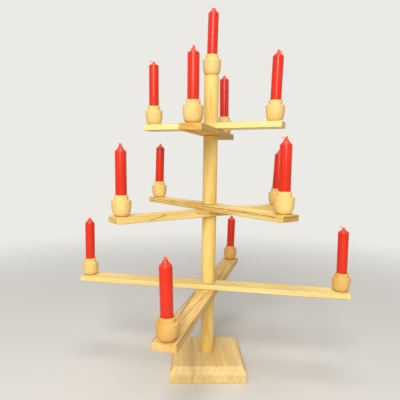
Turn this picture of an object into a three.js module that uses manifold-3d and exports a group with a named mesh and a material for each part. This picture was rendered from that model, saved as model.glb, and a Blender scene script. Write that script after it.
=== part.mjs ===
// A free-standing wooden candle tree: a square foot, a round post in four lengths and three
// tiers of two crossed bars, with a turned candle cup near each bar's ends and one on top.
// Millimetres. +Z is up, and the origin is under the foot, on the post's axis.
import * as THREE from "three";
import { mergeVertices } from "three/addons/utils/BufferGeometryUtils.js";
import Module from "manifold-3d";

// Gaps between pieces
const glueGap = 0.3; // round a dowel or tenon in its hole
const seatGap = 0.3; // under a piece that stands on another
const swivelGap = 0.35; // round a pivot dowel in a bar

// Foot
const footWidth = 110;
const footHeight = 24;
const footEdgeHeight = 13.5; // upright part of the sides, under the sloping edge
const footSlopeInset = 5.6;
const footCornerRadius = 2.5;
const footSocketDepth = 15;

// Post
const postRadius = 10;
const postEase = 0.6; // small chamfer on the ends of each length
const postTop = 423.5;

// Pivot dowels, each joining two lengths of the post through two bars
const pivotRadius = 5;
const pivotDepth = 14; // how far it goes into the post at each end
const pivotEase = 0.8;

// Bars
const barWidth = 28;
const barThickness = 8;
const barCornerRadius = 1.2;
const barEase = 0.5;
const cupFromBarEnd = 12;

// Tiers: the height of the lower bar's underside, and the length of both bars
const lowerTierHeight = 118;
const lowerBarLength = 400;
const middleTierHeight = 234.5;
const middleBarLength = 300;
const upperTierHeight = 345.5;
const upperBarLength = 200;

// Candle cup, turned in one piece with the tenon under it
const tenonRadius = 4;
const tenonLength = 7.5;
const cupHeight = 26;
const cupFootRadius = 6.4;
const cupShoulderRadius = 12.3;
const cupShoulderEase = 0.7;
const bowlCurveHeight = 14; // the bowl's side curves up to here and is upright above
const bowlCornerInset = 0.7; // the corner that the curve rounds off, in from the upright side
const bowlCornerHeight = 3;
const collarRadius = 8.8;
const collarHeight = 6.2;
const collarEase = 0.5;
const socketDepth = 15;

// Candle, with its cotton wick running through it
const candleRadius = 7;
const candleLength = 71; // the longest one, from its base to the rim of the cone
const candleEase = 0.5;
const coneHeight = 4.4;
const nibRadius = 2.5;
const nibTopRadius = 1.9;
const nibHeight = 1.4;
const wickRadius = 1.1;
const wickBendShare = 0.6; // how far up its rise a wick leans over

// Facets round a full turn
const postFacets = 24;
const pivotFacets = 16;
const cupFacets = 18;
const tenonHoleFacets = 12;
const candleFacets = 16;
const wickFacets = 6;
// Steps along a curve
const cornerSteps = 2;
const bowlSteps = 3;
const wickBendSteps = 3;

// Wick ends: rise is how far one stands above the wax, and lean how far aside its tip bends.
const stubWick = { rise: 0.8, lean: 0 };
const lowWick = { rise: 1.6, lean: 2.4 };
const uprightWick = { rise: 2.4, lean: 0.8 };
const bentWick = { rise: 2.6, lean: 3.8 };

// Tiers, from the lowest. The two bars' turns are degrees from +X to the bar's second candle.
// For each candle, shorter is how much less than candleLength it is, and toward is the
// direction, in degrees from +X, in which its wick's tip bends.
const tiers = [
  {
    name: "lower",
    bottom: lowerTierHeight,
    barLength: lowerBarLength,
    under: {
      turn: 74.2,
      candles: {
        front: { shorter: 1, wick: uprightWick, toward: 180 },
        back: { shorter: 5, wick: uprightWick, toward: 20 },
      },
    },
    over: {
      turn: -11.9,
      candles: {
        left: { shorter: 0, wick: lowWick, toward: 185 },
        right: { shorter: 0, wick: bentWick, toward: 175 },
      },
    },
  },
  {
    name: "middle",
    bottom: middleTierHeight,
    barLength: middleBarLength,
    under: {
      turn: 35.2,
      candles: {
        left: { shorter: 3, wick: uprightWick, toward: 150 },
        right: { shorter: 2, wick: lowWick, toward: 190 },
      },
    },
    over: {
      turn: -54.5,
      candles: {
        left: { shorter: 2, wick: uprightWick, toward: 10 },
        right: { shorter: 3, wick: bentWick, toward: 190 },
      },
    },
  },
  {
    name: "upper",
    bottom: upperTierHeight,
    barLength: upperBarLength,
    under: {
      turn: 73.2,
      candles: {
        front: { shorter: 6, wick: bentWick, toward: 185 },
        back: { shorter: 2, wick: lowWick, toward: 200 },
      },
    },
    over: {
      turn: -22.6,
      candles: {
        left: { shorter: 3, wick: bentWick, toward: 190 },
        right: { shorter: 3, wick: lowWick, toward: 5 },
      },
    },
  },
];
const topCandle = { shorter: 4, wick: stubWick, toward: 0 };

// Sizes that follow from the ones above
const tierThickness = 2 * barThickness + seatGap;
const pivotHoleRadius = pivotRadius + glueGap;
const barPivotHoleRadius = pivotRadius + swivelGap;
const tenonHoleRadius = tenonRadius + glueGap;
const socketRadius = candleRadius + glueGap;
const footSocketRadius = postRadius + glueGap;
const footSocketFloor = footHeight - footSocketDepth;
const socketFloor = cupHeight - socketDepth;
const tierTop = (tier) => tier.bottom + tierThickness;

const wasm = await Module();
wasm.setup();

function toSolid(geometry) {
  const bare = geometry.clone();
  bare.deleteAttribute("normal");
  bare.deleteAttribute("uv");
  const merged = mergeVertices(bare, 1e-4);
  const vertProperties = new Float32Array(merged.attributes.position.array);
  const triVerts = new Uint32Array(merged.index.array);
  return new wasm.Manifold(new wasm.Mesh({ numProp: 3, vertProperties, triVerts }));
}

function toGeometry(solid) {
  const mesh = solid.getMesh();
  const geometry = new THREE.BufferGeometry();
  geometry.setAttribute("position", new THREE.BufferAttribute(new Float32Array(mesh.vertProperties), 3));
  geometry.setIndex(new THREE.BufferAttribute(new Uint32Array(mesh.triVerts), 1));
  geometry.computeVertexNormals();
  return geometry;
}

// Turns a profile of [radius, height] points about Z.
function turned(profile, facets) {
  const points = profile.map(([r, z]) => new THREE.Vector2(r, z));
  return new THREE.LatheGeometry(points, facets).rotateX(Math.PI / 2);
}

function cylinder(radius, from, to, facets) {
  return turned([[0, from], [radius, from], [radius, to], [0, to]], facets);
}

// Points on an arc about [x, y], both ends included.
function arcPoints(x, y, radius, from, to, steps) {
  return Array.from({ length: steps + 1 }, (_, i) => {
    const turn = from + ((to - from) * i) / steps;
    return new THREE.Vector2(x + radius * Math.cos(turn), y + radius * Math.sin(turn));
  });
}

function roundedRectangle(length, width, radius) {
  const x = length / 2 - radius;
  const y = width / 2 - radius;
  const quarter = Math.PI / 2;
  const corners = [[x, y], [-x, y], [-x, -y], [x, -y]].map(([cx, cy], i) => {
    return arcPoints(cx, cy, radius, i * quarter, (i + 1) * quarter, cornerSteps);
  });
  return new THREE.Shape(corners.flat());
}

function circlePoints(x, radius, facets) {
  return arcPoints(x, 0, radius, 0, 2 * Math.PI, facets).slice(0, facets);
}

// A square block whose upper edges slope in, with a blind socket for the post.
function footGeometry() {
  const plan = roundedRectangle(footWidth, footWidth, footCornerRadius);
  const block = new THREE.ExtrudeGeometry(plan, {
    depth: footHeight,
    bevelEnabled: false,
  });
  const toCorner = (halfWidth) => halfWidth * Math.SQRT2;
  const edge = toCorner(footWidth / 2);
  const brim = toCorner(footWidth);
  const slope = [[0, 0], [brim, 0], [brim, footEdgeHeight], [edge, footEdgeHeight]];
  slope.push([toCorner(footWidth / 2 - footSlopeInset), footHeight], [0, footHeight]);
  const sloped = turned(slope, 4).rotateZ(Math.PI / 4);
  const socket = cylinder(footSocketRadius, footSocketFloor, 2 * footHeight, postFacets);
  return toGeometry(toSolid(block).intersect(toSolid(sloped)).subtract(toSolid(socket)));
}

// One length of the post, with eased ends and blind holes for dowels.
function postLengthGeometry(from, to, holes) {
  const profile = [[0, from + holes.lowerDepth]];
  if (holes.lowerDepth > 0) {
    profile.push([pivotHoleRadius, from + holes.lowerDepth], [pivotHoleRadius, from]);
  }
  const upperFloor = to - holes.upperDepth;
  profile.push([postRadius - postEase, from], [postRadius, from + postEase]);
  profile.push([postRadius, to - postEase], [postRadius - postEase, to]);
  profile.push([holes.upperRadius, to], [holes.upperRadius, upperFloor], [0, upperFloor]);
  return turned(profile, postFacets);
}

function pivotGeometry(from, to) {
  const end = pivotRadius - pivotEase;
  const profile = [[0, from], [end, from], [pivotRadius, from + pivotEase]];
  profile.push([pivotRadius, to - pivotEase], [end, to], [0, to]);
  return turned(profile, pivotFacets);
}

// A flat bar with softened edges, a pivot hole in the middle and a tenon hole near each end.
function barGeometry(length) {
  const shape = roundedRectangle(length, barWidth, barCornerRadius);
  const reach = length / 2 - cupFromBarEnd;
  shape.holes.push(new THREE.Path(circlePoints(0, barPivotHoleRadius, pivotFacets)));
  for (const x of [-reach, reach]) {
    shape.holes.push(new THREE.Path(circlePoints(x, tenonHoleRadius, tenonHoleFacets)));
  }
  const bar = new THREE.ExtrudeGeometry(shape, {
    depth: barThickness - 2 * barEase,
    bevelEnabled: true,
    bevelThickness: barEase,
    bevelSize: barEase,
    bevelOffset: -barEase,
    bevelSegments: 1,
  });
  return bar.translate(0, 0, barEase);
}

// The cup's turned outline: tenon, curved bowl, eased shoulder, collar, socket.
function cupGeometry() {
  const bowlFoot = new THREE.Vector2(cupFootRadius, 0);
  const bowlCorner = new THREE.Vector2(cupShoulderRadius - bowlCornerInset, bowlCornerHeight);
  const bowlSide = new THREE.Vector2(cupShoulderRadius, bowlCurveHeight);
  const shoulderTop = cupHeight - collarHeight;
  const curve = new THREE.QuadraticBezierCurve(bowlFoot, bowlCorner, bowlSide);
  const bowl = curve.getPoints(bowlSteps).map((p) => [p.x, p.y]);
  const shoulder = [[cupShoulderRadius, shoulderTop - cupShoulderEase]];
  shoulder.push([cupShoulderRadius - cupShoulderEase, shoulderTop]);
  const tenon = [[0, -tenonLength], [tenonRadius, -tenonLength], [tenonRadius, 0]];
  const collar = [[collarRadius, shoulderTop], [collarRadius, cupHeight - collarEase]];
  collar.push([collarRadius - collarEase, cupHeight]);
  const socket = [[socketRadius, cupHeight], [socketRadius, socketFloor], [0, socketFloor]];
  return turned([...tenon, ...bowl, ...shoulder, ...collar, ...socket], cupFacets);
}

// A straight candle with a cone at the top, a small nib and the hole that its wick fills.
function candleGeometry(length) {
  const bore = wickRadius + glueGap;
  const top = length + coneHeight + nibHeight;
  const profile = [
    [bore, 0],
    [candleRadius - candleEase, 0],
    [candleRadius, candleEase],
    [candleRadius, length],
    [nibRadius, length + coneHeight],
    [nibTopRadius, top],
    [bore, top],
    [bore, 0],
  ];
  return turned(profile, candleFacets);
}

// The wick runs up the candle, then leans over as it comes out of the wax.
function wickGeometry(length, { rise, lean }, toward) {
  const top = length + coneHeight + nibHeight;
  const turn = THREE.MathUtils.degToRad(toward);
  const aside = new THREE.Vector3(Math.cos(turn), Math.sin(turn), 0);
  const start = new THREE.Vector3(0, 0, top - glueGap);
  const bend = new THREE.Vector3(0, 0, top + rise * wickBendShare);
  const end = new THREE.Vector3(0, 0, top + rise).addScaledVector(aside, lean);
  const path = new THREE.QuadraticBezierCurve3(start, bend, end);
  const section = new THREE.Shape(circlePoints(0, wickRadius, wickFacets));
  const stub = new THREE.ExtrudeGeometry(section, {
    steps: wickBendSteps,
    bevelEnabled: false,
    extrudePath: path,
  });
  const straight = cylinder(wickRadius, seatGap, top, wickFacets);
  return toGeometry(toSolid(straight).add(toSolid(stub)));
}

const wood = (color) => new THREE.MeshStandardMaterial({ color, roughness: 0.55, metalness: 0 });
const barWood = () => wood(0xe6bd77);
const postWood = () => wood(0xe0b46c);
const cupWood = () => wood(0xe9c384);
const redWax = () => new THREE.MeshStandardMaterial({ color: 0xd4201a, roughness: 0.35, metalness: 0 });
const cotton = () => new THREE.MeshStandardMaterial({ color: 0xe6d3c0, roughness: 0.9, metalness: 0 });

function named(name, geometry, material) {
  const mesh = new THREE.Mesh(geometry, material);
  mesh.name = name;
  return mesh;
}

// A cup with its candle and wick, standing at height, distance away from its parent's axis.
function candlePlace(name, distance, height, parentTurn, { shorter, wick, toward }) {
  const place = new THREE.Group();
  const length = candleLength - shorter;
  const bend = wickGeometry(length, wick, toward - parentTurn);
  const cup = named(`cup_${name}`, cupGeometry(), cupWood());
  const candle = named(`candle_${name}`, candleGeometry(length), redWax());
  const cottonWick = named(`wick_${name}`, bend, cotton());
  candle.position.z = socketFloor + seatGap;
  cottonWick.position.z = candle.position.z;
  place.position.set(distance, 0, height + seatGap);
  place.add(cup, candle, cottonWick);
  return place;
}

// One bar with a candle place near each end.
function barPlaces(tier, layer, height) {
  const { turn, candles } = tier[layer];
  const bar = new THREE.Group();
  const reach = tier.barLength / 2 - cupFromBarEnd;
  const name = `${tier.name}_${layer}`;
  const [first, second] = Object.keys(candles);
  bar.add(named(`bar_${name}`, barGeometry(tier.barLength), barWood()));
  bar.add(candlePlace(`${name}_${first}`, -reach, barThickness, turn, candles[first]));
  bar.add(candlePlace(`${name}_${second}`, reach, barThickness, turn, candles[second]));
  bar.position.z = height;
  bar.rotation.z = THREE.MathUtils.degToRad(turn);
  return bar;
}

function tierGroup(tier) {
  const group = new THREE.Group();
  const pivotFrom = tier.bottom - pivotDepth + glueGap;
  const pivotTo = tierTop(tier) + pivotDepth - glueGap;
  group.add(named(`pivot_dowel_${tier.name}`, pivotGeometry(pivotFrom, pivotTo), postWood()));
  group.add(barPlaces(tier, "under", tier.bottom));
  group.add(barPlaces(tier, "over", tier.bottom + barThickness + seatGap));
  return group;
}

// The post's lengths stand between the foot, the tiers and the top cup.
function postLengths() {
  const lengths = new THREE.Group();
  const stops = ["foot_to_lower", "lower_to_middle", "middle_to_upper", "upper_to_top"];
  stops.forEach((name, i) => {
    const from = i === 0 ? footSocketFloor + seatGap : tierTop(tiers[i - 1]) + seatGap;
    const last = i === tiers.length;
    const to = last ? postTop : tiers[i].bottom - seatGap;
    const holes = {
      lowerDepth: i === 0 ? 0 : pivotDepth,
      upperRadius: last ? tenonHoleRadius : pivotHoleRadius,
      upperDepth: last ? tenonLength + glueGap : pivotDepth,
    };
    lengths.add(named(`post_${name}`, postLengthGeometry(from, to, holes), postWood()));
  });
  return lengths;
}

const group = new THREE.Group();
group.add(named("foot", footGeometry(), postWood()));
group.add(postLengths());
tiers.forEach((tier) => group.add(tierGroup(tier)));
group.add(candlePlace("top", 0, postTop, 0, topCandle));

export default group;
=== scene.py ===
from math import atan2, pi, radians

import bmesh
import bpy
from bmesh.types import BMEdge, BMFace, BMVert
from mathutils import Euler, Matrix, Vector
from mathutils.geometry import interpolate_bezier


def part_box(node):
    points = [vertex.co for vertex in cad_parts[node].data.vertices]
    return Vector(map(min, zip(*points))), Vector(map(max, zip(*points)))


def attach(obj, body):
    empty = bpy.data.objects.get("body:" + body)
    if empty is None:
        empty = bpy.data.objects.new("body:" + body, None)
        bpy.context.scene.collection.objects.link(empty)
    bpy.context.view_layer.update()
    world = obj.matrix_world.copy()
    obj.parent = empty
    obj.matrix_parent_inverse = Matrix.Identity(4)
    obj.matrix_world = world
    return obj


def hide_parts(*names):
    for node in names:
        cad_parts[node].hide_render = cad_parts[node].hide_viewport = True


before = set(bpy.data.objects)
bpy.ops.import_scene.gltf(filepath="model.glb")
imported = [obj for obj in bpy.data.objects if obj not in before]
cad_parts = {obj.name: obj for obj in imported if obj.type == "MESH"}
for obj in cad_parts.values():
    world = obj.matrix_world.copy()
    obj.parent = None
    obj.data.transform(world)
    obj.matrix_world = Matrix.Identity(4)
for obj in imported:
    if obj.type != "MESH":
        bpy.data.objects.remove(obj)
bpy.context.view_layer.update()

MM = 0.001
SAME_PLACE = 0.001 * MM

# Sizes in millimetres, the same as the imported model's
GLUE_GAP = 0.3
SEAT_GAP = 0.3
SWIVEL_GAP = 0.35
FOOT_WIDTH = 110
FOOT_HEIGHT = 24
FOOT_EDGE_HEIGHT = 13.5
FOOT_SLOPE_INSET = 5.6
FOOT_CORNER = 2.5
FOOT_SOCKET_DEPTH = 15
POST_RADIUS = 10
PIVOT_RADIUS = 5
PIVOT_DEPTH = 14
BAR_WIDTH = 28
BAR_THICKNESS = 8
CUP_FROM_BAR_END = 12
TENON_RADIUS = 4
TENON_LENGTH = 7.5
CUP_HEIGHT = 26
CUP_SHOULDER_RADIUS = 12.3
CUP_SHOULDER_HEIGHT = 19.8
BOWL_CURVE_HEIGHT = 14
COLLAR_RADIUS = 8.8
SOCKET_RADIUS = 7.3
SOCKET_DEPTH = 15
CANDLE_RADIUS = 7
CONE_HEIGHT = 4.4
NIB_HEIGHT = 1.4
WICK_RADIUS = 1.1

# Finer shape that only shows close up, in millimetres
FOOT_EASE = 0.7
POST_TOP_EASE = 0.7
POST_FOOT_EASE = 0.3
DOWEL_EASE = 0.8
BAR_CORNER = 1.6
BAR_EASE = 0.6
TENON_EASE = 0.6
CUP_BASE_RADIUS = 7.2
CUP_SIDE_RADIUS = 12.1
SHOULDER_EASE = 0.4
COLLAR_TAPER = 0.1
COLLAR_FOOT_EASE = 0.3
COLLAR_RIM_EASE = 0.55
SOCKET_EASE = 0.35
CANDLE_FOOT_EASE = 0.5
CANDLE_RIM_EASE = 0.9
NECK_RADIUS = 2.3
NECK_HEIGHT = 5
NECK_EASE = 0.3
WICK_FIT = 0.05
WICK_TWIST_PITCH = 6

# The two points that pull the side of a bowl outwards, as (radius, height)
BOWL_PULLS = ((10.6, 1.4), (12.0, 5.8))
# The two points that hollow a candle's cone, as (radius, share of the way from rim to neck)
CONE_PULLS = ((5.3, 0.32), (3.1, 0.56))

# A wick that is out of the candle is thicker than inside it. These are shares of its radius:
# what the grooves between its strands leave, how thick it is bare, and what the wax adds.
STRAND_GROOVE = 0.78
BARE_WICK = 1.2
WAX_COAT = 0.5

# Facets round a full turn
CUP_STEPS = 64
POST_STEPS = 72
CANDLE_STEPS = 48
HOLE_STEPS = 32
WICK_STEPS = 12
FLOOR_STEPS = 96

# Facets across an eased edge, and steps along a curve
PROFILE_EASE_STEPS = 4
FOOT_CORNER_STEPS = 5
BAR_CORNER_STEPS = 4
EDGE_EASE_STEPS = 2
BOWL_STEPS = 12
CONE_STEPS = 9
WICK_BEND_STEPS = 14

# Edges of a turned piece that bend by more than the first angle stay crisp, and edges of a bar
# that bend by more than the second are eased. Both are in degrees.
CRISP_ANGLE = 38
EASED_ANGLE = 60

# The ways that grain runs, and the place of a shape that is made where it belongs
LENGTHWISE = (1, 0, 0)
FRONT_TO_BACK = (0, 1, 0)
UPRIGHT = (0, 0, 1)
AS_MADE = Matrix.Identity(4)

# The cups at the two ends of each bar
BARS = {
    "lower_under": ("front", "back"),
    "lower_over": ("left", "right"),
    "middle_under": ("left", "right"),
    "middle_over": ("left", "right"),
    "upper_under": ("front", "back"),
    "upper_over": ("left", "right"),
}


# Materials

def linear(hex_colour):
    """An sRGB hex colour as linear RGBA."""
    parts = [int(hex_colour[i:i + 2], 16) / 255 for i in (1, 3, 5)]
    return (*[p / 12.92 if p <= 0.04045 else ((p + 0.055) / 1.055) ** 2.4 for p in parts], 1)


def add(tree, kind, inputs=None, **settings):
    """Adds a node with its settings, and sets or links its inputs."""
    node = tree.nodes.new("ShaderNode" + kind)
    for name, value in settings.items():
        setattr(node, name, value)
    for socket, value in (inputs or {}).items():
        if isinstance(value, bpy.types.NodeSocket):
            tree.links.new(value, node.inputs[socket])
        else:
            node.inputs[socket].default_value = value
    return node


def new_material(name):
    """An empty material, its node tree and its shader."""
    material = bpy.data.materials.new(name)
    material.use_nodes = True
    tree = material.node_tree
    return material, tree, tree.nodes["Principled BSDF"]


def softwood(name, pale, tone, dark, ring_gap=3.4, early=0.3, figure=0.3, fibre=0.14, ends=0.22,
             gloss=0.45, lines=()):
    """Pale pine, planed, turned or sanded and left bare.

    It is a matt creamy yellow with softer and warmer patches, brown late-wood lines a few
    millimetres apart that follow the tree's rings, fine fibres along the grain and darker ends.

    pale and tone are the colours of the wood between its lines and dark is that of the lines.
    ring_gap is a year's growth in millimetres, and early is the share of it that stays pale.
    figure, fibre and ends are how dark the rings, the fibres and the ends get, and gloss is the
    least roughness. lines are single strong late-wood lines, given in the piece's own frame.
    """
    material, tree, shader = new_material(name)
    grain = add(tree, "Attribute", attribute_name="grain").outputs["Vector"]
    board = add(tree, "Attribute", attribute_name="board").outputs["Vector"]
    end_grain = add(tree, "Attribute", attribute_name="end_grain").outputs["Fac"]

    # The fibres wander by up to 7 mm over about 110 mm, and those that are 26 mm apart wander
    # each in their own way.
    slow = add(tree, "VectorMath", {0: grain, 1: (1 / 110, 1 / 26, 1 / 26)},
               operation="MULTIPLY").outputs[0]
    wander = add(tree, "TexNoise", {"Vector": slow, "Scale": 1, "Detail": 2}).outputs["Color"]
    bent = add(tree, "VectorMath", {0: wander, 1: (0, 7, 7), 2: grain}, operation="MULTIPLY_ADD").outputs[0]

    # Each year's ring darkens slowly to a thin hard line, from 0.86 to 0.9 of the year, and then
    # starts again. The palest year's line is about a third as dark as the darkest year's.
    across = add(tree, "VectorMath", {0: bent, 1: (0, 1, 1)}, operation="MULTIPLY").outputs[0]
    radius = add(tree, "VectorMath", {0: across}, operation="LENGTH").outputs["Value"]
    year = add(tree, "Math", {0: radius, 1: ring_gap}, operation="DIVIDE").outputs[0]
    season = add(tree, "Math", {0: year}, operation="FRACT").outputs[0]
    ripe = add(tree, "MapRange", {"Value": season, "From Min": early, "From Max": 0.86},
               interpolation_type="SMOOTHSTEP").outputs["Result"]
    fresh = add(tree, "MapRange", {"Value": season, "From Min": 1.0, "From Max": 0.9},
                interpolation_type="SMOOTHSTEP").outputs["Result"]
    which_year = add(tree, "Math", {0: year}, operation="FLOOR").outputs[0]
    weather = add(tree, "TexWhiteNoise", {"W": which_year}, noise_dimensions="1D").outputs["Value"]
    strength = add(tree, "Math", {0: weather, 1: 0.65, 2: 0.35}, operation="MULTIPLY_ADD").outputs[0]
    late_wood = add(tree, "Math", {0: ripe, 1: fresh}, operation="MULTIPLY").outputs[0]
    ring = add(tree, "Math", {0: late_wood, 1: strength}, operation="MULTIPLY").outputs[0]

    # Patches of warmer wood, long fibres, fine hairs and short flecks, each given by its
    # length and width in millimetres. Real fibres are 0.03 mm wide, too fine to show, so these
    # are drawn coarser.
    layers = {}
    sizes = {"patches": (95, 18), "fibres": (46, 1.5), "hairs": (14, 0.7), "flecks": (9, 1.1)}
    for layer, (length, width) in sizes.items():
        drawn_out = add(tree, "VectorMath", {0: bent, 1: (1 / length, 1 / width, 1 / width)},
                        operation="MULTIPLY").outputs[0]
        noise = add(tree, "TexNoise", {"Vector": drawn_out, "Scale": 1, "Detail": 2})
        layers[layer] = noise.outputs["Fac"]

    # What darkens the wood: a value, the range of it that counts, and how dark it gets.
    marks = [
        (ring, 0, 1, figure),
        (layers["fibres"], 0.35, 0.8, fibre),
        (layers["hairs"], 0.35, 0.75, fibre * 0.6),
        (layers["flecks"], 0.66, 0.76, fibre),
        (end_grain, 0, 1, ends),
    ]
    # A single line wanders slowly by about half a millimetre and trembles by a little less, is
    # soft at its sides and at its two ends, and is fainter between the fibres.
    along = add(tree, "SeparateXYZ", {0: board}).outputs["X"]
    for direction, (start, at_start), (end, at_end), width, darkness in lines:
        slope = (at_end - at_start) / (end - start)
        normal = (-slope, direction == "across", direction == "up")
        middle = (start + end) / 2
        half = (end - start) / 2
        off = add(tree, "VectorMath", {0: board, 1: normal}, operation="DOT_PRODUCT").outputs["Value"]
        off = add(tree, "Math", {0: off, 1: slope * start - at_start}, operation="ADD").outputs[0]
        for wave, reach in ((layers["patches"], 3), (layers["flecks"], 1.8)):
            centred = add(tree, "Math", {0: wave, 1: 0.5}, operation="SUBTRACT").outputs[0]
            off = add(tree, "Math", {0: centred, 1: reach, 2: off}, operation="MULTIPLY_ADD").outputs[0]
        off = add(tree, "Math", {0: off}, operation="ABSOLUTE").outputs[0]
        thin = add(tree, "MapRange", {"Value": off, "From Min": width, "From Max": width * 0.2},
                   interpolation_type="SMOOTHSTEP").outputs["Result"]
        away = add(tree, "Math", {0: along, 1: middle}, operation="SUBTRACT").outputs[0]
        away = add(tree, "Math", {0: away}, operation="ABSOLUTE").outputs[0]
        shown = add(tree, "MapRange", {"Value": away, "From Min": half, "From Max": half * 0.8},
                    interpolation_type="SMOOTHSTEP").outputs["Result"]
        broken = add(tree, "MapRange", {"Value": layers["fibres"], "From Min": 0.36, "From Max": 0.52,
                                        "To Min": 0.65}).outputs["Result"]
        line = add(tree, "Math", {0: thin, 1: shown}, operation="MULTIPLY").outputs[0]
        line = add(tree, "Math", {0: line, 1: broken}, operation="MULTIPLY").outputs[0]
        marks.append((line, 0, 1, darkness))
    dark_share = 0.0
    for value, low, high, most in marks:
        part = add(tree, "MapRange", {"Value": value, "From Min": low, "From Max": high, "To Max": most},
                   interpolation_type="SMOOTHSTEP").outputs["Result"]
        dark_share = add(tree, "Math", {0: dark_share, 1: part}, operation="ADD").outputs[0]

    warm = add(tree, "MapRange", {"Value": layers["patches"], "From Min": 0.32, "From Max": 0.68},
               interpolation_type="SMOOTHSTEP").outputs["Result"]
    base = add(tree, "Mix", {0: warm, 6: linear(pale), 7: linear(tone)}, data_type="RGBA").outputs[2]
    colour = add(tree, "Mix", {0: dark_share, 6: base, 7: linear(dark)}, data_type="RGBA").outputs[2]
    tree.links.new(colour, shader.inputs["Base Color"])
    rough = add(tree, "MapRange", {"Value": layers["fibres"], "From Min": 0.3, "From Max": 0.7,
                                   "To Min": gloss, "To Max": gloss + 0.12}).outputs["Result"]
    tree.links.new(rough, shader.inputs["Roughness"])
    # The hairs stand up and the rings lie in, by about a tenth of a millimetre.
    hollow = add(tree, "Math", {0: ring, 1: -0.4}, operation="MULTIPLY").outputs[0]
    relief = add(tree, "Math", {0: layers["hairs"], 1: 0.5, 2: hollow}, operation="MULTIPLY_ADD").outputs[0]
    bump = add(tree, "Bump", {"Strength": 0.35, "Distance": 0.12 * MM, "Height": relief})
    tree.links.new(bump.outputs[0], shader.inputs["Normal"])
    shader.inputs["IOR"].default_value = 1.5
    shader.inputs["Specular IOR Level"].default_value = 0.25
    return material


def red_wax():
    """Red paraffin wax, drawn and dipped.

    It is an even scarlet that light sinks into a little, with a smooth skin that gives a
    narrow upright shine and has faint drawn lines along the candle. The cone is a deeper
    orange, which is painted light for the light that it catches from above.
    """
    material, tree, shader = new_material("dipped_red_paraffin_wax")
    place = add(tree, "TexCoord").outputs["Object"]
    local = add(tree, "Mapping", {"Vector": place, "Scale": (1 / MM,) * 3}).outputs[0]
    # The colour is cloudy by 16 mm. The drawn lines are 3 mm apart and 60 mm long.
    cloud = add(tree, "TexNoise", {"Vector": local, "Scale": 1 / 16, "Detail": 1}).outputs["Fac"]
    drawn = add(tree, "VectorMath", {0: local, 1: (1 / 3, 1 / 3, 1 / 60)}, operation="MULTIPLY").outputs[0]
    skin = add(tree, "TexNoise", {"Vector": drawn, "Scale": 1, "Detail": 1}).outputs["Fac"]
    colour = add(tree, "Mix", {0: cloud, 6: linear("#DA2404"), 7: linear("#E12C05")}, data_type="RGBA")
    # The cone's deeper orange is painted light, for the light that it catches from above.
    tip = add(tree, "Attribute", attribute_name="tip").outputs["Fac"]
    painted_cone_light = add(tree, "MapRange", {"Value": tip, "To Max": 0.7}).outputs["Result"]
    both = add(tree, "Mix", {0: painted_cone_light, 6: colour.outputs[2], 7: linear("#C8400F")}, data_type="RGBA")
    tree.links.new(both.outputs[2], shader.inputs["Base Color"])
    gloss = add(tree, "MapRange", {"Value": skin, "From Min": 0.3, "From Max": 0.7,
                                   "To Min": 0.27, "To Max": 0.31})
    tree.links.new(gloss.outputs[0], shader.inputs["Roughness"])
    bump = add(tree, "Bump", {"Strength": 0.1, "Distance": 0.05 * MM, "Height": skin})
    tree.links.new(bump.outputs[0], shader.inputs["Normal"])
    shader.inputs["IOR"].default_value = 1.44
    shader.inputs["Subsurface Weight"].default_value = 0.12
    shader.inputs["Subsurface Radius"].default_value = (3 * MM, 0.8 * MM, 0.5 * MM)
    shader.inputs["Subsurface Scale"].default_value = 1
    return material


def waxed_cotton():
    """Twisted cotton cord, dipped at its foot in the candle's wax.

    The bare end is a matt off-white with fine threads, and the dipped part is a pinkish red
    with a soft shine. Real threads are 0.1 mm, drawn five times as coarse so that they show.
    """
    material, tree, shader = new_material("twisted_cotton_wick")
    place = add(tree, "TexCoord").outputs["Object"]
    local = add(tree, "Mapping", {"Vector": place, "Scale": (1 / MM,) * 3}).outputs[0]
    thread = add(tree, "TexNoise", {"Vector": local, "Scale": 1 / 0.5, "Detail": 3}).outputs["Fac"]
    waxed = add(tree, "Attribute", attribute_name="waxed").outputs["Fac"]
    bare = add(tree, "Mix", {0: thread, 6: linear("#F3DECE"), 7: linear("#D2A792")}, data_type="RGBA")
    both = add(tree, "Mix", {0: waxed, 6: bare.outputs[2], 7: linear("#EA5A40")}, data_type="RGBA")
    tree.links.new(both.outputs[2], shader.inputs["Base Color"])
    gloss = add(tree, "MapRange", {"Value": waxed, "To Min": 0.85, "To Max": 0.4})
    tree.links.new(gloss.outputs[0], shader.inputs["Roughness"])
    bump = add(tree, "Bump", {"Strength": 0.5, "Distance": 0.2 * MM, "Height": thread})
    tree.links.new(bump.outputs[0], shader.inputs["Normal"])
    shader.inputs["Sheen Weight"].default_value = 0.2
    return material


# Making pieces

def ease(bm, parts, width, steps, affect="EDGES"):
    """Rounds edges, or the corners of a wire, by a width in millimetres."""
    bmesh.ops.bevel(bm, geom=parts, offset=width * MM, offset_type="OFFSET", segments=steps,
                    profile=0.5, affect=affect, material=-1)


def rounded_profile(points, eases):
    """A wire through (radius, height) points in millimetres, some corners rounded by eases."""
    bm = bmesh.new()
    verts = [bm.verts.new((r * MM, 0, z * MM)) for r, z in points]
    for first, second in zip(verts, verts[1:]):
        bm.edges.new((first, second))
    for index, width in eases.items():
        ease(bm, [verts[index]], width, PROFILE_EASE_STEPS, "VERTICES")
    return bm


def on_lathe(bm, steps):
    """Turns the wire profile once round the upright axis."""
    bmesh.ops.spin(bm, geom=bm.verts[:] + bm.edges[:], cent=(0, 0, 0), axis=UPRIGHT,
                   angle=2 * pi, steps=steps, use_merge=True)
    bmesh.ops.remove_doubles(bm, verts=bm.verts, dist=SAME_PLACE)
    bmesh.ops.recalc_face_normals(bm, faces=bm.faces)
    return bm


def curve(controls, steps):
    """Points along a bend from the first (x, height) control to the last, pulled by the others."""
    return interpolate_bezier(*(Vector((x, 0, z)) for x, z in controls), steps)


def grown(result, kind):
    """The points, edges or faces that an extrusion gave."""
    return [part for part in result["geom"] if isinstance(part, kind)]


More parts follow.
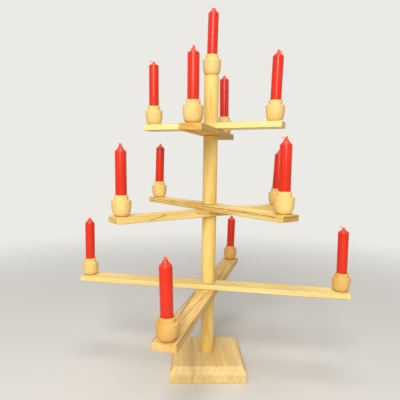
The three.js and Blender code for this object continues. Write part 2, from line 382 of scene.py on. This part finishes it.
def climb(edge):
    """How far one end of an edge is above the other."""
    return abs(edge.verts[0].co.z - edge.verts[1].co.z)


def cut_from_log(bm, direction, heart, tilt):
    """Gives each point its place in the tree, from the heart, and in the board cut from it.

    Both are in millimetres, with x along direction, which is the way the piece's grain runs.
    The tilt is in degrees. The more a face looks along the grain, the more it is an end.
    """
    to_board = Vector(direction).rotation_difference(Vector(LENGTHWISE)).to_matrix()
    to_log = Euler([radians(a) for a in tilt]).to_matrix()
    grain = bm.verts.layers.float_vector.new("grain")
    board = bm.verts.layers.float_vector.new("board")
    ends = bm.loops.layers.float.new("end_grain")
    for vert in bm.verts:
        vert[board] = to_board @ (vert.co / MM)
        vert[grain] = to_log @ vert[board] + Vector(heart)
    least_facing = 0.6
    for face in bm.faces:
        facing = abs(face.normal.dot(Vector(direction)))
        for loop in face.loops:
            loop[ends] = max(0.0, facing - least_facing) / (1 - least_facing)


def add_piece(name, bm, material, body, node, place=AS_MADE, smooth=True):
    """Puts a finished shape in its place as a piece that stands for one node."""
    bmesh.ops.transform(bm, matrix=place, verts=bm.verts)
    mesh = bpy.data.meshes.new(name)
    bm.to_mesh(mesh)
    bm.free()
    mesh.materials.append(material)
    if smooth:
        mesh.shade_smooth()
        mesh.set_sharp_from_angle(angle=radians(CRISP_ANGLE))
    piece = bpy.data.objects.new(name, mesh)
    bpy.context.collection.objects.link(piece)
    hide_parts(node)
    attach(piece, body)


def box_of(node):
    """The middle, the low corner and the high corner of a node's box."""
    low, high = (Vector(corner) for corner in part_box(node))
    return (low + high) / 2, low, high


# Finishes

# A single line in a piece is across its top or up its sides: (along, place) at its start and
# end, its width, all in millimetres, and how dark it is.
BAR_WOOD = {
    "lower_under": dict(
        pale="#F5D287", tone="#E9BE70", dark="#8E5E2C", figure=0.2, fibre=0.2, ends=0.05, lines=(
            ("across", (-136, 6.5), (-24, 12.5), 1.0, 0.7),
            ("across", (-136, 0.5), (-21, -4.2), 1.0, 0.7),
            ("across", (60, 7), (150, -2), 1.2, 0.5),
            ("across", (30, -7), (150, -2), 1.2, 0.5))),
    "lower_over": dict(
        pale="#F7E096", tone="#F3D787", dark="#B58B46", figure=0.18, lines=(
            ("up", (-190, 2.2), (60, 2.8), 0.7, 0.3),
            ("up", (20, 5.6), (190, 4.8), 0.7, 0.4),
            ("up", (90, 2.6), (205, 2.2), 0.7, 0.4),
            ("across", (-170, 3), (180, -5), 0.8, 0.3))),
    "middle_under": dict(
        pale="#FADD8C", tone="#F3CF78", dark="#A07030", figure=0.2, lines=(
            ("up", (-108, 1.2), (-80, 8.4), 1.4, 0.5),
            ("up", (-36, 6.3), (-4, 5.2), 1.1, 0.8),
            ("up", (-30, 4.2), (6, 3.4), 0.8, 0.6))),
    # This bar's ends are darker than the others': end grain, made darker still as painted shade for its
    # shaded end.
    "middle_over": dict(
        pale="#F9DC84", tone="#F1CB6C", dark="#A0642C", figure=0.22, ends=0.5, lines=(
            ("up", (-170, 5.6), (170, 5.4), 1.0, 0.8),
            ("up", (-165, 2.6), (90, 2.2), 0.9, 0.6),
            ("up", (10, 3.8), (146, 4.2), 0.7, 0.5),
            ("across", (-140, -8), (40, -5), 1.2, 0.5))),
    # This bar's deeper, warmer yellow is partly its own board and partly painted shade and painted red
    # reflection from the candles, for its shaded side.
    "upper_under": dict(
        pale="#E3BA5E", tone="#D4A246", dark="#94531F", ring_gap=5, early=0.7, figure=0.5,
        fibre=0.08, ends=0.05),
    # This bar's paler, yellower wood is partly its own board and partly painted light, for the strong light
    # on its front.
    "upper_over": dict(pale="#F8E49C", tone="#F4DA8E", dark="#C09A4E", figure=0.16, fibre=0.1),
}
TURNED_CUP = dict(ring_gap=2.6, figure=0.07, fibre=0.08, ends=0, gloss=0.48)
POST_PINE = dict(pale="#F7D57E", tone="#F0C870", ring_gap=3.6, ends=0.15)
POST_CRACK = ("up", (378, 1.4), (405, 1.4), 0.8, 0.85)
FOOT_BAND = ("across", (-90, 22), (90, 25), 5, 0.22)

planed_bars = {name: softwood(f"planed_pine_{name}", **wood) for name, wood in BAR_WOOD.items()}
# The second cup wood, darker and more orange, is painted shade for three cups of the lower tier, where less
# light reaches.
turned_woods = {
    "pale": softwood("turned_pine_cup", pale="#F3D083", tone="#ECC274", dark="#B98E4C", **TURNED_CUP),
    "painted_shade": softwood("turned_pine_cup_painted_shade", pale="#E6B868", tone="#DCA658", dark="#A87A3E", **TURNED_CUP),
}
PAINTED_SHADE_CUPS = ("lower_under_front", "lower_under_back", "lower_over_right")
post_wood = softwood("sanded_pine_post", dark="#AE843C", figure=0.2, fibre=0.1, **POST_PINE)
cracked_wood = softwood("sanded_pine_cracked_post", dark="#94702E", figure=0.14, fibre=0.08,
                        lines=(POST_CRACK,), **POST_PINE)
foot_wood = softwood("sanded_pine_foot", pale="#FADD9A", tone="#EDCA84", dark="#B0844A", ring_gap=8,
                     figure=0.13, fibre=0.08, ends=0.16, lines=(FOOT_BAND,))
wax = red_wax()
cotton = waxed_cotton()

# Where each piece was cut from its tree: its origin from the heart, in millimetres with x
# along the grain, and how it was tilted, in degrees
FOOT_LOG = ((0, 84, 22), (0, 2, -3))
POST_LOGS = {
    "foot_to_lower": ((0, -34, 4), (0, 1.5, 2)),
    "lower_to_middle": ((300, 36, -5), (0, -1, 1.4)),
    "middle_to_upper": ((600, 30, 2), (0, 1, 3.4)),
    "upper_to_top": ((900, 38, 3), (0, -2, 1)),
}
DOWEL_LOG = ((1200, 18, 12), (0, 1, 1))
BAR_LOGS = {
    "lower_under": ((0, 4, 30), (0, 1.6, 1.6)),
    "lower_over": ((500, 9, 36), (0, 0.7, 0.4)),
    "middle_under": ((900, -6, 18), (0, 3.4, 1.0)),
    "middle_over": ((1400, 12, 26), (0, -1.1, 1.6)),
    "upper_under": ((1900, -18, 46), (0, 2.0, -1.2)),
    "upper_over": ((2300, 7, 40), (0, -0.8, 0.6)),
}


# Foot

def make_foot():
    """A square block with sloping upper edges, softened corners and the post's socket."""
    half = FOOT_WIDTH / 2 * MM
    bm = bmesh.new()
    bmesh.ops.create_grid(bm, x_segments=1, y_segments=1, size=half)
    top = bm.faces[:]
    for rise, inset in ((FOOT_EDGE_HEIGHT, 0), (FOOT_HEIGHT - FOOT_EDGE_HEIGHT, FOOT_SLOPE_INSET)):
        raised = bmesh.ops.extrude_face_region(bm, geom=top)
        top = grown(raised, BMFace)
        smaller = 1 - inset / (FOOT_WIDTH / 2)
        bmesh.ops.translate(bm, verts=grown(raised, BMVert), vec=(0, 0, rise * MM))
        bmesh.ops.scale(bm, verts=grown(raised, BMVert), vec=(smaller, smaller, 1))
    bmesh.ops.recalc_face_normals(bm, faces=bm.faces)
    ease(bm, [e for e in bm.edges if climb(e) > MM], FOOT_CORNER, FOOT_CORNER_STEPS)
    ease(bm, [e for e in bm.edges if climb(e) < SAME_PLACE], FOOT_EASE, EDGE_EASE_STEPS)
    top_face = max(bm.faces, key=lambda face: face.calc_center_median().z)
    rim = top_face.edges[:]
    bmesh.ops.delete(bm, geom=[top_face], context="FACES_ONLY")
    mouth = bmesh.ops.create_circle(bm, cap_ends=False, radius=(POST_RADIUS + GLUE_GAP) * MM,
                                    segments=POST_STEPS,
                                    matrix=Matrix.Translation((0, 0, FOOT_HEIGHT * MM)))["verts"]
    mouth_edges = list(dict.fromkeys(edge for vert in mouth for edge in vert.link_edges))
    bmesh.ops.triangle_fill(bm, use_beauty=True, use_dissolve=False, edges=rim + mouth_edges)
    wall = bmesh.ops.extrude_edge_only(bm, edges=mouth_edges)
    bmesh.ops.translate(bm, verts=grown(wall, BMVert), vec=(0, 0, -FOOT_SOCKET_DEPTH * MM))
    floor = bmesh.ops.holes_fill(bm, edges=[e for e in bm.edges if e.is_boundary], sides=0)
    # A middle point divides the round floor in the same way each time.
    bmesh.ops.poke(bm, faces=floor["faces"])
    bmesh.ops.recalc_face_normals(bm, faces=bm.faces)
    cut_from_log(bm, FRONT_TO_BACK, *FOOT_LOG)
    add_piece("foot_block", bm, foot_wood, "stand", "foot", smooth=False)


make_foot()


# Post, and the dowels on which the tiers turn

def make_post(name):
    """One length of the post, with bores for the dowels and, at the very top, for a cup's tenon."""
    node = f"post_{name}"
    _, low, high = box_of(node)
    bottom = low.z / MM
    top = high.z / MM
    bore = PIVOT_RADIUS + GLUE_GAP
    points = [(0, bottom)]
    if name != "foot_to_lower":
        points = [(0, bottom + PIVOT_DEPTH), (bore, bottom + PIVOT_DEPTH), (bore, bottom)]
    corner = len(points)
    wood = post_wood
    depth = PIVOT_DEPTH
    if name == "upper_to_top":
        wood = cracked_wood
        bore = TENON_RADIUS + GLUE_GAP
        depth = TENON_LENGTH + GLUE_GAP
    points += [(POST_RADIUS, bottom), (POST_RADIUS, top)]
    points += [(bore, top), (bore, top - depth), (0, top - depth)]
    eases = {corner: POST_FOOT_EASE, corner + 1: POST_TOP_EASE}
    bm = on_lathe(rounded_profile(points, eases), POST_STEPS)
    cut_from_log(bm, UPRIGHT, *POST_LOGS[name])
    add_piece(f"{node}_rod", bm, wood, "stand", node)


def make_dowel(tier):
    """A plain dowel with eased ends."""
    node = f"pivot_dowel_{tier}"
    _, low, high = box_of(node)
    bottom = low.z / MM
    top = high.z / MM
    points = [(0, bottom), (PIVOT_RADIUS, bottom), (PIVOT_RADIUS, top), (0, top)]
    bm = on_lathe(rounded_profile(points, {1: DOWEL_EASE, 2: DOWEL_EASE}), HOLE_STEPS)
    cut_from_log(bm, UPRIGHT, *DOWEL_LOG)
    add_piece(f"pivot_{tier}_dowel", bm, post_wood, "stand", node)


for post_name in POST_LOGS:
    make_post(post_name)
for tier in ("lower", "middle", "upper"):
    make_dowel(tier)


# Bars

def make_bar(name):
    """A planed bar with eased edges, a pivot hole and two tenon holes."""
    node = f"bar_{name}"
    first, second = (box_of(f"cup_{name}_{side}")[0] for side in BARS[name])
    reach = (second - first).xy.length / 2
    turn = atan2(second.y - first.y, second.x - first.x)
    half = reach + CUP_FROM_BAR_END * MM
    side = BAR_WIDTH / 2 * MM
    bm = bmesh.new()
    bmesh.ops.create_grid(bm, x_segments=1, y_segments=1, size=1,
                          matrix=Matrix.Diagonal((half, side, 1, 1)))
    bmesh.ops.delete(bm, geom=bm.faces[:], context="FACES_ONLY")
    tenon_hole = TENON_RADIUS + GLUE_GAP
    for x, radius in ((-reach, tenon_hole), (0, PIVOT_RADIUS + SWIVEL_GAP), (reach, tenon_hole)):
        bmesh.ops.create_circle(bm, cap_ends=False, radius=radius * MM, segments=HOLE_STEPS,
                                matrix=Matrix.Translation((x, 0, 0)))
    bmesh.ops.triangle_fill(bm, use_beauty=True, use_dissolve=False, edges=bm.edges[:])
    raised = bmesh.ops.extrude_face_region(bm, geom=bm.faces[:])
    bmesh.ops.translate(bm, verts=grown(raised, BMVert), vec=(0, 0, BAR_THICKNESS * MM))
    bmesh.ops.recalc_face_normals(bm, faces=bm.faces)

    def outer_edges():
        """The edges that stand out on the bar's outline, away from its holes."""
        inside = BAR_CORNER * MM + SAME_PLACE
        return [e for e in bm.edges if e.calc_face_angle(0) > radians(EASED_ANGLE)
                and all(abs(v.co.x) > half - inside or abs(v.co.y) > side - inside for v in e.verts)]

    ease(bm, [e for e in outer_edges() if climb(e) > MM], BAR_CORNER, BAR_CORNER_STEPS)
    ease(bm, outer_edges(), BAR_EASE, EDGE_EASE_STEPS)
    cut_from_log(bm, LENGTHWISE, *BAR_LOGS[name])
    place = Matrix.Translation((0, 0, box_of(node)[1].z)) @ Matrix.Rotation(turn, 4, "Z")
    add_piece(f"{node}_planed", bm, planed_bars[name], node, node, place, smooth=False)


for bar_name in BARS:
    make_bar(bar_name)


# Cups

def make_cup(name, seat, body, number):
    """Tenon, bowl that rounds up to an upright side, shoulder, collar with a soft rim, socket."""
    bowl = curve(((CUP_BASE_RADIUS, 0), *BOWL_PULLS, (CUP_SIDE_RADIUS, BOWL_CURVE_HEIGHT)), BOWL_STEPS)
    points = [(0, -TENON_LENGTH), (TENON_RADIUS, -TENON_LENGTH), (TENON_RADIUS, 0)]
    points += [(p.x, p.z) for p in bowl]
    shoulder = len(points)
    points += [(CUP_SHOULDER_RADIUS, CUP_SHOULDER_HEIGHT)]
    points += [(COLLAR_RADIUS - COLLAR_TAPER, CUP_SHOULDER_HEIGHT)]
    points += [(COLLAR_RADIUS, CUP_HEIGHT), (SOCKET_RADIUS, CUP_HEIGHT)]
    points += [(SOCKET_RADIUS, CUP_HEIGHT - SOCKET_DEPTH), (0, CUP_HEIGHT - SOCKET_DEPTH)]
    eases = {1: TENON_EASE, shoulder: SHOULDER_EASE, shoulder + 1: COLLAR_FOOT_EASE,
             shoulder + 2: COLLAR_RIM_EASE, shoulder + 3: SOCKET_EASE}
    bm = on_lathe(rounded_profile(points, eases), CUP_STEPS)
    # Each cup comes from its own place in a log, and is turned its own way on the lathe.
    heart = (number * 60, 15 + 5 * (number % 4), 7 * (number % 3) - 4)
    cut_from_log(bm, UPRIGHT, heart, (0, 2, number * 29))
    # Those three cups take the wood with the painted shade.
    wood = turned_woods["painted_shade" if name in PAINTED_SHADE_CUPS else "pale"]
    add_piece(f"cup_{name}_turned", bm, wood, body, f"cup_{name}", Matrix.Translation(seat))


# Candles and wicks

# No two candles are alike. Each has how far it leans in its socket, in degrees to the viewer's
# right, how much higher its rim is than on the plain model, and how its wick bends: where it
# points half way, where its tip is, right of and above the plain model's wax, and for how long
# the wax clings to it. Lengths are in millimetres.
CANDLES = {
    "lower_under_front": (-1.2, -1.6, (1.0, 0.8), (-1.9, 0.2), 3.0),
    "lower_under_back": (0.9, 0, (0.2, 1.4), (0.8, 1.9), 1.4),
    "lower_over_left": (1.6, -0.6, (-0.6, 1.5), (-3.3, 0.5), 1.1),
    "lower_over_right": (-2.2, 1.0, (-0.8, 2.8), (-5.0, 2.6), 2.0),
    "middle_under_left": (0.6, -1.2, (-0.2, 1.6), (0.2, 2.5), 3.0),
    "middle_under_right": (1.9, 0, (-0.4, 1.6), (-2.4, 1.6), 1.0),
    "middle_over_left": (2.0, 1.0, (0.1, 1.6), (0.7, 2.4), 1.6),
    "middle_over_right": (-0.9, -1.2, (0.3, 2.3), (-4.6, 1.0), 2.2),
    "upper_under_front": (0.0, 1.0, (0.2, 4.0), (-3.4, -0.9), 3.0),
    "upper_under_back": (-1.2, 1.6, (2.4, 2.8), (1.6, 0.6), 1.6),
    "upper_over_left": (0.3, 2.2, (-0.8, 1.8), (-6.2, 2.8), 1.6),
    "upper_over_right": (0.7, 0, (4.4, 2.6), (4.6, -1.8), 1.8),
    "top": (1.1, -1.2, (0, 0.4), (0, 0.7), -0.2),
}


def make_candle(name, length, higher, place):
    """Straight side, crisp rim, hollow-sided cone and a neck of wax round the wick."""
    bore = WICK_RADIUS + WICK_FIT
    neck = length + NECK_HEIGHT
    rim = length + higher
    pulls = [(radius, rim + share * (neck - rim)) for radius, share in CONE_PULLS]
    cone = curve(((CANDLE_RADIUS, rim), *pulls, (NECK_RADIUS, neck)), CONE_STEPS)
    points = [(bore, 0), (CANDLE_RADIUS, 0), *[(p.x, p.z) for p in cone], (bore, neck), (bore, 0)]
    eases = {1: CANDLE_FOOT_EASE, 2: CANDLE_RIM_EASE, len(points) - 3: NECK_EASE}
    bm = on_lathe(rounded_profile(points, eases), CANDLE_STEPS)
    # The tip's orange, painted light on the cone, comes in over the first millimetre above the rim.
    tip_share = bm.verts.layers.float.new("tip")
    for vert in bm.verts:
        vert[tip_share] = min(1.0, max(0.0, vert.co.z / MM - rim))
    add_piece(f"candle_{name}_wax", bm, wax, f"candle_{name}", f"candle_{name}", place)


def make_wick(name, length, halfway, tip, waxed_for, place):
    """Three twisted strands that run up the candle, thicker where the wax clings, and bend over."""
    top = length + CONE_HEIGHT + NIB_HEIGHT
    neck = length + NECK_HEIGHT
    # It swells just above the neck, and its bend starts straight up from the plain model's wax.
    swell = 0.1
    start = 0.05
    spring = 0.6
    bend = curve(((0, top + start), (0, top + spring * halfway[1]), (halfway[0], top + halfway[1]),
                  (tip[0], top + tip[1])), WICK_BEND_STEPS)
    path = [Vector((0, 0, SEAT_GAP)), Vector((0, 0, neck)), Vector((0, 0, neck + swell)), *bend]
    bm = bmesh.new()
    waxed = bm.verts.layers.float.new("waxed")
    ring = bmesh.ops.create_circle(bm, cap_ends=True, radius=WICK_RADIUS * MM, segments=WICK_STEPS)["verts"]
    grooves = ring[::WICK_STEPS // 3]
    bmesh.ops.scale(bm, verts=grooves, vec=(STRAND_GROOVE, STRAND_GROOVE, 1))
    edges = bm.edges[:]
    before = AS_MADE
    travelled = 0.0
    for i, point in enumerate(path):
        after = path[min(i + 1, len(path) - 1)]
        ahead = after - path[max(i - 1, 0)]
        heading = Vector(UPRIGHT).rotation_difference(ahead).to_matrix().to_4x4()
        twist = Matrix.Rotation(travelled / WICK_TWIST_PITCH * 2 * pi, 4, "Z")
        clinging = 1 - min(1.0, max(0.0, travelled - waxed_for))
        thick = Matrix.Scale(BARE_WICK + WAX_COAT * clinging if point.z > neck else 1, 4)
        here = Matrix.Translation(point * MM) @ heading @ twist @ thick
        if i > 0:
            longer = bmesh.ops.extrude_edge_only(bm, edges=edges)
            ring = grown(longer, BMVert)
            edges = [edge for edge in grown(longer, BMEdge) if all(vert in ring for vert in edge.verts)]
        bmesh.ops.transform(bm, matrix=here @ before.inverted(), verts=ring)
        for vert in ring:
            vert[waxed] = clinging
        before = here
        if point.z > neck:
            travelled += (after - point).length
    bmesh.ops.holes_fill(bm, edges=[e for e in bm.edges if e.is_boundary], sides=0)
    bmesh.ops.recalc_face_normals(bm, faces=bm.faces)
    add_piece(f"wick_{name}_braid", bm, cotton, f"candle_{name}", f"wick_{name}", place)


def furnish(name, body, number):
    """The cup, candle and wick of one place."""
    middle, low, _ = box_of(f"cup_{name}")
    seat = Vector((middle.x, middle.y, low.z + TENON_LENGTH * MM))
    make_cup(name, seat, body, number)
    lean, higher, halfway, tip, waxed_for = CANDLES[name]
    _, candle_low, candle_high = box_of(f"candle_{name}")
    length = (candle_high.z - candle_low.z) / MM - CONE_HEIGHT - NIB_HEIGHT
    # It leans about the middle of its socket, so that it stays clear of the walls.
    pivot = Matrix.Translation((0, 0, SOCKET_DEPTH / 2 * MM))
    stand = Matrix.Translation((middle.x, middle.y, candle_low.z))
    place = stand @ pivot @ Matrix.Rotation(radians(lean), 4, "Y") @ pivot.inverted()
    make_candle(name, length, higher, place)
    make_wick(name, length, halfway, tip, waxed_for, place)


furnish("top", "stand", 0)
for bar_number, (bar_name, sides) in enumerate(BARS.items()):
    for side_number, side in enumerate(sides):
        furnish(f"{bar_name}_{side}", f"bar_{bar_name}", 1 + 2 * bar_number + side_number)


# Setting

# The floor's sizes are in metres. It is a hair under the foot, so that the two don't mix, and
# it fades to the backdrop between two distances from the foot.
FLOOR_RADIUS = 6
FLOOR_DROP = 0.0002
FADE_START = 0.35
FADE_END = 1.3
FLOOR = "#DBD8D1"
BACKDROP = "#ECEAE5"
# How strong the even light is that comes from all round
AMBIENT = 0.28

# Each lamp's place, what it is aimed at, its width and height, all in metres, and its watts.
# The low narrow one draws the upright shine on the upper candles.
SOFTBOXES = {
    "front_softbox": ((-0.38, -1.42, 1.57), (0, 0, 0.25), 0.7, 0.7, 18),
    "overhead_softbox": ((0, -0.2, 2.1), (0, 0, 0.2), 0.9, 0.9, 13.5),
    "low_softbox": ((-0.2, -1.75, 0.92), (0, 0, 0.42), 0.4, 0.7, 16),
}

# The camera stands where the photograph was taken from, solved from the object's own sizes.
# Its place is in millimetres and its turn, tilt and roll are in radians. Its focal length and
# centre are in pixels of the 400 pixel wide photograph.
CAMERA_PLACE = (-29.23, -567.35, 307.48)
CAMERA_TURN = -0.012
CAMERA_TILT = -0.196
CAMERA_ROLL = 0.010
PHOTO_WIDTH = 400
FOCAL_LENGTH = 395.14
CENTRE = (193.47, 241.96)
SENSOR_WIDTH = 36

scene = bpy.context.scene
scene.view_settings.view_transform = "Standard"


def make_floor():
    """A round sheet of matt paper that fades into the backdrop, so that no horizon shows."""
    bm = bmesh.new()
    bmesh.ops.create_circle(bm, cap_ends=True, radius=FLOOR_RADIUS, segments=FLOOR_STEPS)
    bmesh.ops.translate(bm, verts=bm.verts, vec=(0, 0, -FLOOR_DROP))
    mesh = bpy.data.meshes.new("floor")
    bm.to_mesh(mesh)
    bm.free()
    floor = bpy.data.objects.new("floor", mesh)
    bpy.context.collection.objects.link(floor)
    material, tree, shader = new_material("matt_paper_floor")
    shader.inputs["Base Color"].default_value = linear(FLOOR)
    shader.inputs["Roughness"].default_value = 0.9
    shader.inputs["Specular IOR Level"].default_value = 0.1
    place = add(tree, "TexCoord").outputs["Object"]
    away = add(tree, "VectorMath", {0: place}, operation="LENGTH").outputs["Value"]
    fade = add(tree, "MapRange", {"Value": away, "From Min": FADE_START, "From Max": FADE_END},
               interpolation_type="SMOOTHSTEP").outputs["Result"]
    rays = add(tree, "LightPath")
    share = add(tree, "Math", {0: fade, 1: rays.outputs["Is Camera Ray"]}, operation="MULTIPLY").outputs[0]
    glow = add(tree, "Emission", {"Color": linear(BACKDROP), "Strength": 1.0}).outputs[0]
    mixed = add(tree, "MixShader", {0: share, 1: shader.outputs[0], 2: glow}).outputs[0]
    tree.links.new(mixed, tree.nodes["Material Output"].inputs["Surface"])
    mesh.materials.append(material)


def make_world():
    """The object is lit by a soft even white; the eye, gloss and glass see the pale backdrop."""
    world = bpy.data.worlds.new("studio")
    scene.world = world
    world.use_nodes = True
    tree = world.node_tree
    rays = add(tree, "LightPath")
    seen = add(tree, "Math", {0: rays.outputs["Is Camera Ray"], 1: rays.outputs["Is Transmission Ray"]},
               operation="MAXIMUM").outputs[0]
    seen = add(tree, "Math", {0: seen, 1: rays.outputs["Is Glossy Ray"]}, operation="MAXIMUM").outputs[0]
    soft = add(tree, "Background", {"Color": linear("#FFFFFF"), "Strength": AMBIENT})
    shown = add(tree, "Background", {"Color": linear(BACKDROP), "Strength": 1.0})
    mixed = add(tree, "MixShader", {0: seen, 1: soft.outputs[0], 2: shown.outputs[0]}).outputs[0]
    tree.links.new(mixed, tree.nodes["World Output"].inputs["Surface"])


def add_softbox(name, place, aim, width, height, watts):
    """A flat lamp that looks at what it is aimed at."""
    lamp = bpy.data.lights.new(name, "AREA")
    lamp.shape = "RECTANGLE"
    lamp.size = width
    lamp.size_y = height
    lamp.energy = watts
    holder = bpy.data.objects.new(name, lamp)
    holder.location = place
    holder.rotation_euler = (Vector(aim) - Vector(place)).to_track_quat("-Z", "Y").to_euler()
    bpy.context.collection.objects.link(holder)


def add_camera():
    """The photograph's camera, which looks along y, a little turned, tilted down and rolled."""
    camera = bpy.data.cameras.new("camera")
    camera.sensor_width = SENSOR_WIDTH
    camera.lens = SENSOR_WIDTH * FOCAL_LENGTH / PHOTO_WIDTH
    camera.shift_x = (PHOTO_WIDTH / 2 - CENTRE[0]) / PHOTO_WIDTH
    camera.shift_y = (CENTRE[1] - PHOTO_WIDTH / 2) / PHOTO_WIDTH
    camera.clip_start = 0.01
    tripod = bpy.data.objects.new("camera", camera)
    tripod.location = Vector(CAMERA_PLACE) * MM
    turn, tilt, roll = (Matrix.Rotation(angle, 3, axis) for angle, axis in
                        ((CAMERA_TURN, "Z"), (pi / 2 + CAMERA_TILT, "X"), (CAMERA_ROLL, "Z")))
    tripod.rotation_euler = (turn @ tilt @ roll).to_euler()
    bpy.context.collection.objects.link(tripod)
    scene.camera = tripod


make_floor()
make_world()
for softbox, lamp in SOFTBOXES.items():
    add_softbox(softbox, *lamp)
add_camera()
